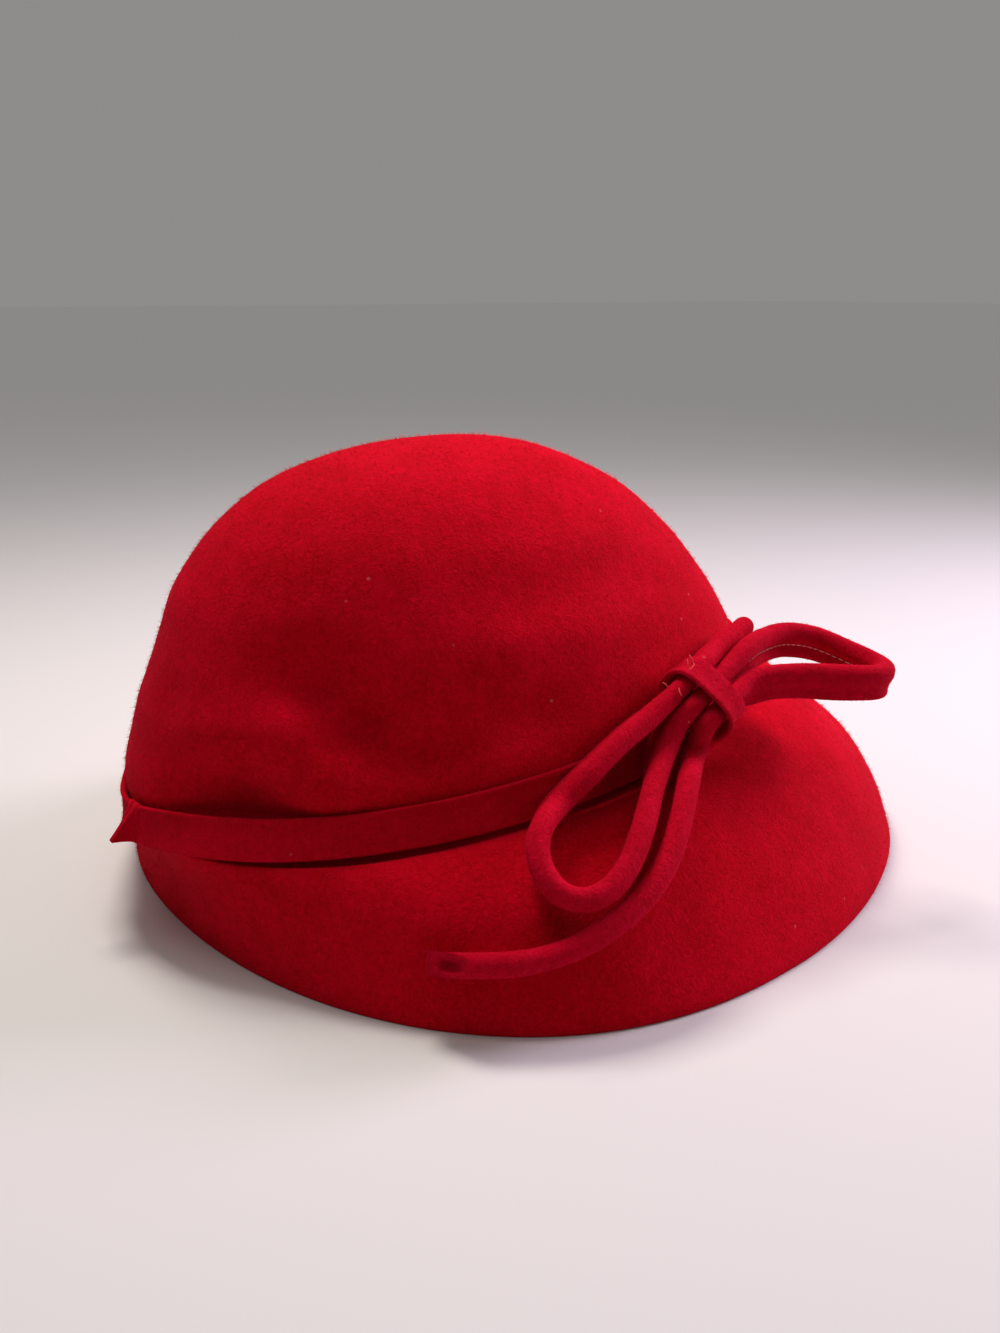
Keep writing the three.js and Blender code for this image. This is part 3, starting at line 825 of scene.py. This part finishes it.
STRIP_STEP = 0.8 * MM
strip_run, strip_line, strip_facing, strip_squeeze = smooth_route(stations, STRIP_STEP)
strip_line[3:-3] = softened(strip_line, 3)[3:-3]
strip_facing = softened(strip_facing, 7)
strip_squeeze = softened(strip_squeeze[:, None], 4)[:, 0]
strip_tangent = unit(np.gradient(strip_line, axis=0))
lengthwise = np.sum(strip_facing * strip_tangent, 1, keepdims=True)
strip_facing = unit(strip_facing - strip_tangent * lengthwise)
strip_across = np.cross(strip_tangent, strip_facing)
print("strip:", round(strip_run[-1], 3), "m long,", len(strip_line), "rings")

# %% [markdown]
# ## The strip
# The strip is folded over a soft filling and stitched through beside it. That leaves a round tube
# with a flat flange. On the outer side the felt runs smoothly from tube to flange. On the inner
# side it is pulled in along the stitches. So its section is drawn as one outline with a neck on
# one side only, and two felt edges showing at the end of the flange. The hanging end is cut on a
# slant, and the filling ends a little inside it.

# %% Draw the strip's section
def strip_outline():
    radius, half, depth = TUBE / 2, FLANGE_THICKNESS / 2, TUBE / 2 + FLANGE_DEPTH
    turned = np.radians(np.linspace(34, 262, 24))
    tube = [(math.sin(angle) * radius, math.cos(angle) * radius) for angle in turned]
    neck = [(-radius * 0.93, radius * 0.42), (-radius * 0.76, radius * 0.8)]
    flange = [
        (-half * 1.25, radius * 1.2), (-half * 1.05, radius + FLANGE_DEPTH * 0.5),
        (-half, depth - 0.5 * MM), (-half * 0.8, depth - 0.08 * MM), (-half * 0.35, depth),
        (0, depth - 0.35 * MM), (half * 0.35, depth), (half * 0.8, depth - 0.08 * MM),
        (half, depth - 0.5 * MM), (half * 0.98, radius + FLANGE_DEPTH * 0.55),
        (half * 0.8, radius + FLANGE_DEPTH * 0.25), (half * 0.62, radius * 1.04),
    ]
    return np.array(tube + neck + flange)[::-1]


OUTLINE = strip_outline()
print("the strip's section has", len(OUTLINE), "corners")

# %% Make the strip
TAIL_CUT_LENGTH = 11.5 * MM
TAIL_HOLLOW = 2.6 * MM
TAIL_HOLLOW_FROM, TAIL_HOLLOW_RUN = 0.3, 0.55  # shares of the cut's length
SECTION_MIDDLE = np.array([0, 0.9 * MM])
SWELLS = [(0.018, 9 * MM), (0.014, 4.1 * MM)]  # share of the size, and how long
swell_starts = np.random.default_rng(11).uniform(0, 6.3, len(SWELLS))


def strip_ring(k, shrink=1.0):
    swell = 1
    for (share, length), start in zip(SWELLS, swell_starts):
        swell += share * np.sin(strip_run[k] / length + start)
    corners = OUTLINE * strip_squeeze[k] * swell
    corners = SECTION_MIDDLE + (corners - SECTION_MIDDLE) * shrink
    uncut = strip_run[k] / TAIL_CUT_LENGTH
    if uncut < 1:
        depth = -TUBE / 2 + (1 - uncut) ** 0.8 * (TUBE * 0.95)
        width = np.clip(1 - (corners[:, 0] / (TUBE * 0.3)) ** 2, 0, 1)
        inside = min(1, max(0, uncut - TAIL_HOLLOW_FROM) / TAIL_HOLLOW_RUN)
        floor_line = depth + TAIL_HOLLOW * width * math.sin(math.pi * inside) ** 0.5
        corners[:, 1] = np.maximum(corners[:, 1], floor_line)
    across, facing = corners[:, :1], corners[:, 1:]
    return strip_line[k] + across * strip_across[k] + facing * strip_facing[k]


last = len(strip_line) - 1
strip_rings = np.array([strip_ring(k) for k in range(last - 3)])
upper_dome = [strip_ring(last - 3 + n, shrink) for n, shrink in enumerate((0.97, 0.9, 0.74, 0.45))]
upper_tip = strip_line[last] + strip_tangent[last] * 0.5 * MM
upper_tip = upper_tip + strip_facing[last] * SECTION_MIDDLE[1]
tail_tip = strip_ring(0).mean(axis=0) - strip_tangent[0] * 0.4 * MM
strip = ring_piece("bow_strip_felt", [[tail_tip], *strip_rings, *upper_dome, [upper_tip]])
strip.data.materials.append(STRIP_FELT)
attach(strip, "root")
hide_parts("bow_strip")
print("strip:", triangles(strip), "triangles")

# %% [markdown]
# ## The wrap
# A short strip closes the bow. It is stiff enough to stand away from the strands, so its edge
# shows its thickness and a dark gap under it. It is drawn as a ring of cross-sections round the
# three strands. Its front edge flares, and its path is rounded, not square.

# %% Make the wrap
inner_half = STRAND_PITCH + TUBE / 2 * KNOT_SQUEEZE + CLEARANCE
inner_high = TUBE / 2 * KNOT_SQUEEZE + CLEARANCE
inner_low = -(TUBE / 2 + FLANGE_DEPTH) * KNOT_SQUEEZE - CLEARANCE
WRAP_SECTION = [  # along the strands as a share of the width, outwards in metres
    (-0.53, 1.3 * MM), (-0.46, 0.8 * MM), (-0.2, 0.15 * MM), (0.2, 0.0), (0.47, 0.1 * MM),
    (0.54, 0.35 * MM), (0.57, 0.9 * MM), (0.55, 1.4 * MM), (0.49, 1.7 * MM), (0.25, 1.5 * MM),
    (0.0, 1.5 * MM), (-0.25, 1.85 * MM), (-0.47, 2.55 * MM), (-0.56, 2.6 * MM), (-0.6, 2.2 * MM),
    (-0.59, 1.7 * MM),
]
WRAP_SQUARENESS = (0.44, 0.62)  # under and over the strands
WRAP_BULGE = 1.1  # on the lower side
WRAP_LEAN = 0.315 * MM


def wrap_path(count):
    middle = (inner_high + inner_low) / 2
    tall = (inner_high - inner_low) / 2
    places = []
    for angle in np.linspace(0, 2 * math.pi, count, endpoint=False):
        c, s = math.cos(angle), math.sin(angle)
        squareness = WRAP_SQUARENESS[s >= 0]
        side = math.copysign(abs(c) ** squareness, c) * inner_half * (WRAP_BULGE if c < 0 else 1)
        out = math.copysign(abs(s) ** squareness, s) * tall + middle
        places.append((side, out))
    places = np.array(places)
    gap = np.roll(places, -1, 0) - np.roll(places, 1, 0)
    normal = unit(np.stack([gap[:, 1], -gap[:, 0]], -1))
    return places, normal


path, path_normal = wrap_path(96)
lean = WRAP_LEAN * np.sin(np.linspace(0, 2 * math.pi, len(path), endpoint=False) + 0.6)
wrap_rings = []
for share, outward in WRAP_SECTION:
    flat = path + path_normal * outward
    wrap_rings.append(
        knot_centre + flat[:, :1] * knot_side + flat[:, 1:] * knot_outward
        + (share * WRAP_WIDTH + lean[:, None]) * knot_along
    )
wrap = ring_piece("bow_wrap_felt", wrap_rings, wrap_round=True)
wrap.data.materials.append(STRIP_FELT)
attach(wrap, "root")
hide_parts("bow_wrap")
print("wrap:", triangles(wrap), "triangles")

# %% [markdown]
# ## Stitches and thread ends
# A pale pink thread is stitched along the neck between tube and flange. It shows on the inner
# side of the free loop. Each stitch is a tiny closed capsule that sinks into the felt at both
# ends, which reads better than a painted dash. A few cut thread ends stand up beside the wrap.

# %% Make a thread from points
THREAD_SIDES = 6
THREAD_END = 0.75  # share of the radius left at both ends
ASKEW = [0.3, 0.2, 0.93]  # a direction that no thread here runs in


def thread_rings(points, radius):
    points = np.asarray(points, float)
    heading = unit(np.gradient(points, axis=0))
    first = unit(np.cross(heading, ASKEW))
    second = np.cross(heading, first)
    turn = np.linspace(0, 2 * math.pi, THREAD_SIDES, endpoint=False)[:, None]
    rings = [[points[0] - heading[0] * radius]]
    for k, point in enumerate(points):
        size = radius * (THREAD_END if k in (0, len(points) - 1) else 1)
        rings.append(point + size * (np.cos(turn) * first[k] + np.sin(turn) * second[k]))
    return rings + [[points[-1] + heading[-1] * radius]]


def thread_material(name, light, dark):
    material, tree, shader = new_material(name)
    place = add_node(tree, "TexCoord", {})["Object"]
    grain = add_node(tree, "TexNoise", {"Vector": place, "Scale": 1500})["Fac"]
    shade = mixed(tree, grain, (*dark, 1), (*light, 1))
    plug(tree, shader, {"Base Color": shade, "Roughness": 0.8, "Specular IOR Level": 0.1})
    return material


STITCH_THREAD = thread_material("pink_thread", (0.9, 0.5, 0.5), (0.8, 0.25, 0.28))
LOOSE_THREAD = thread_material("salmon_thread", (1.0, 0.13, 0.1), (0.9, 0.06, 0.05))
print("threads:", STITCH_THREAD.name, LOOSE_THREAD.name)

# %% Make the stitches
STITCH_PITCH = 2.1 * MM
STITCH_LENGTH = 1.5 * MM
STITCH_THICK = 0.2 * MM
STITCH_HEIGHTS = np.array([-0.02, 0.2, 0.2, -0.02]) * MM
NECK_ASIDE, NECK_DOWN = FLANGE_THICKNESS / 2 * 0.66, TUBE / 2 * 1.06
PLAIN_END = 6 * MM  # no stitches on the upper end's tip
UNSQUEEZED = 0.97
strip_table = np.column_stack([strip_line, strip_across, strip_facing, strip_squeeze])


def on_neck(run, outside):
    row = np.array([np.interp(run, strip_run, column) for column in strip_table.T])
    place, across, facing, squeeze = row[:3], row[3:6], row[6:9], row[9]
    return place + across * (NECK_ASIDE * squeeze + outside) + facing * (NECK_DOWN * squeeze)


stitches = []
for run in np.arange(TAIL_CUT_LENGTH, strip_run[-1] - PLAIN_END, STITCH_PITCH):
    if np.interp(run, strip_run, strip_squeeze) < UNSQUEEZED:  # hidden in the wrap
        continue
    runs = run + np.linspace(0, STITCH_LENGTH, len(STITCH_HEIGHTS))
    points = [on_neck(*where) for where in zip(runs, STITCH_HEIGHTS)]
    stitches.append(thread_rings(points, STITCH_THICK))
flange_stitches = many_bodies("flange_stitches", stitches)
flange_stitches.data.materials.append(STITCH_THREAD)
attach(flange_stitches, "root")
print(len(stitches), "stitches,", triangles(flange_stitches), "triangles")

# %% Make the loose thread ends
LOOSE_THREAD_THICK = 0.19 * MM
THREAD_ENDS = [  # along, side and outward from the knot's middle, in millimetres
    [(-0.1, 10.3, 6.3), (-0.3, 8.9, 5.9), (-0.4, 7.7, 5.3), (-1.6, 7.5, 4.5), (-2.7, 7.9, 3.7),
     (-4.1, 9.8, 2.6)],
    [(-8.8, 10.4, 0.3), (-8.6, 9.5, 0.5), (-8.9, 8.5, 0.3)],
    [(-8.8, 6.3, 3.0), (-9.5, 5.3, 2.8), (-9.8, 4.4, 2.6)],
    [(-1.2, 9.9, 5.6), (-2.0, 8.9, 5.2), (-1.9, 8.1, 4.7)],
]
knot_axes = np.array([knot_along, knot_side, knot_outward])
ends = [
    thread_rings(knot_centre + np.array(places) * MM @ knot_axes, LOOSE_THREAD_THICK)
    for places in THREAD_ENDS
]
loose_threads = many_bodies("loose_thread_ends", ends)
loose_threads.data.materials.append(LOOSE_THREAD)
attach(loose_threads, "root")
print(len(ends), "thread ends,", triangles(loose_threads), "triangles")

# %% [markdown]
# ## The nap
# Felt is fuzzy: short wool fibres stand out of it and soften every outline. Particle hair would
# not survive an export, so each fibre is a real, closed sliver with three sides. The fibres are
# spread by area over the rings of each piece. They lean one way, as if brushed, with some chance
# in it. They stay short, about a millimetre, so they show at the edges and as fine light streaks.

# %% Grow fibres on rings
FIBRE_CORNERS = (0, 2.094, 4.189)  # radians, a third of a turn apart
FIBRE_CHANCE = 0.55
FIBRE_ROOT = 0.12 * MM  # sunk into the felt
NAP_FELT = felt_material(
    "nap_fibres", (0.55, 0.001, 0.012), (0.80, 0.004, 0.035), lint=0.0, bump=0.1, sheen=0.0
)


def nap_piece(name, rings, count, length, thick, lean, seed, slot_name):
    dice = np.random.default_rng(seed)
    grid = np.array(rings)
    grid = np.concatenate([grid, grid[:, :1]], axis=1)
    down = grid[1:, :-1] - grid[:-1, :-1]
    along = grid[:-1, 1:] - grid[:-1, :-1]
    normal = np.cross(down, along)
    area = np.linalg.norm(normal, axis=2)
    centres = grid[:, :-1].mean(axis=1, keepdims=True)
    outward = np.sign(np.sum(normal * (grid[:-1, :-1] - centres[:-1]), axis=2))
    normal = normal / np.maximum(area, 1e-12)[..., None] * outward[..., None]
    chosen = dice.choice(area.size, count, p=area.ravel() / area.sum())
    i, j = np.unravel_index(chosen, area.shape)
    s, t = dice.random((2, count, 1))
    root = grid[i, j] + down[i, j] * s + along[i, j] * t
    n = normal[i, j]
    brushed = unit(along[i, j]) * lean[0] + unit(down[i, j]) * lean[1]
    chance = dice.normal(size=(count, 3)) * FIBRE_CHANCE
    upward = n * dice.uniform(0.25, 0.9, (count, 1))
    chance_upward = n * np.sum(chance * n, 1, keepdims=True)
    heading = unit(upward + brushed + chance - chance_upward * 0.5)
    first = unit(np.cross(heading, n + 0.01))
    second = np.cross(heading, first)
    size = thick * dice.uniform(0.7, 1.3, (count, 1))
    root = root - n * FIBRE_ROOT
    corners = [
        root + size * (math.cos(turn) * first + math.sin(turn) * second) for turn in FIBRE_CORNERS
    ]
    tip = root + heading * (length * dice.uniform(0.5, 1.4, (count, 1)))
    points = np.stack([*corners, tip], axis=1).reshape(-1, 3)
    points[:, 2] = np.maximum(points[:, 2], body_low[2])
    base = (np.arange(count) * 4)[:, None, None]
    faces = (base + np.array([(0, 2, 1), (0, 1, 3), (1, 2, 3), (2, 0, 3)])[None]).reshape(-1, 3)
    nap = skin_piece(name, points, faces.tolist())
    nap.data.materials.append(NAP_FELT)
    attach(nap, "root")
    print(name, count, "fibres,", triangles(nap), "triangles")


NAPS = [  # name, rings, fibres, length, thickness, lean round and down, seed, slot
    ("hood_nap", outer_rings, 46000, 1.5 * MM, 0.065 * MM, (0.5, 0.5), 21, "body_felt"),
    ("band_nap", [band_ring(*corner) for corner in BAND_SECTION[4:14]],
     9000, 1.0 * MM, 0.05 * MM, (0.9, 0.0), 22, "band_felt"),
    ("strip_nap", strip_rings, 24000, 0.9 * MM, 0.05 * MM, (0.0, 0.9), 23, "strip_felt"),
    ("wrap_nap", wrap_rings[6:15], 2400, 0.9 * MM, 0.05 * MM, (0.9, 0.0), 24, "wrap_felt"),
]
for nap in NAPS:
    nap_piece(*nap)

# %% [markdown]
# ## Floor and light
# A plain pale floor and soft studio lights show the felt without competing with it. In the photo a
# warm light falls from above and a little from the left, and a cooler one reaches the brim from
# the right and from behind. Two soft lamps do that, and a weak sky and a dim world light the rest.
# Light that only grazes the crown's side is what makes its hollows show. The world looks a little
# brighter to the camera than it shines. The plain Standard view keeps the crimson saturated.

# %% Set the floor
FLOOR_HALF = 12.0
floor_mesh = bpy.data.meshes.new("floor")
floor_mesh.from_pydata(
    [(x * FLOOR_HALF, y * FLOOR_HALF, 0) for x, y in ((-1, -1), (1, -1), (1, 1), (-1, 1))],
    [], [(0, 1, 2, 3)],
)
floor = bpy.data.objects.new("floor", floor_mesh)
bpy.context.scene.collection.objects.link(floor)
floor_material, floor_tree, floor_shader = new_material("pale_floor")
plug(floor_tree, floor_shader, {"Base Color": (0.66, 0.645, 0.63, 1), "Roughness": 0.7})
floor.data.materials.append(floor_material)
print("floor", 2 * FLOOR_HALF, "m wide")


# %% Set the lamps
def add_lamp(name, place, target, size, power, colour):
    lamp = bpy.data.objects.new(name, bpy.data.lights.new(name, "AREA"))
    lamp.data.size = size
    lamp.data.energy = power
    lamp.data.color = colour
    lamp.location = place
    way = unit(np.array(target) - np.array(place))
    lamp.rotation_euler = (math.acos(-way[2]), 0, math.atan2(way[1], way[0]) - math.pi / 2)
    bpy.context.scene.collection.objects.link(lamp)


hat_middle = np.array([0, 0.01, 0.06])
away = -arm * [1, 1, 0]
key_place = hat_middle - view_right * 0.12 + away * 0.16 + np.array([0, 0, 0.6])
fill_place = hat_middle + view_right * 0.68 + away * 0.24 + np.array([0, 0, 0.36])
WARM, COOL = (1.0, 0.92, 0.86), (0.94, 0.76, 1.0)
add_lamp("key_lamp", key_place, hat_middle, size=0.22, power=3.6, colour=WARM)
add_lamp("fill_lamp", fill_place, hat_middle, size=0.3, power=5.3, colour=COOL)
print("key lamp at", key_place.round(2), "fill lamp at", fill_place.round(2))

# %% Set the sky and the world
sky_lamp = bpy.data.objects.new("sky_lamp", bpy.data.lights.new("sky_lamp", "SUN"))
sky_lamp.data.energy = 0.6
sky_lamp.data.angle = math.radians(60)
bpy.context.scene.collection.objects.link(sky_lamp)

world = bpy.data.worlds.new("studio")
world.use_nodes = True
WORLD_SHINES, WORLD_SEEN = 0.2, 0.27
tree = world.node_tree
ray = add_node(tree, "LightPath", {})["Is Camera Ray"]
strength = add_node(tree, "MapRange", {"Value": ray, "To Min": WORLD_SHINES, "To Max": WORLD_SEEN})
plug(tree, tree.nodes["Background"], {
    "Color": (1.0, 0.98, 0.96, 1), "Strength": strength["Result"],
})
bpy.context.scene.world = world
bpy.context.scene.view_settings.view_transform = "Standard"
print("lamps and sky:", len(bpy.data.lights))
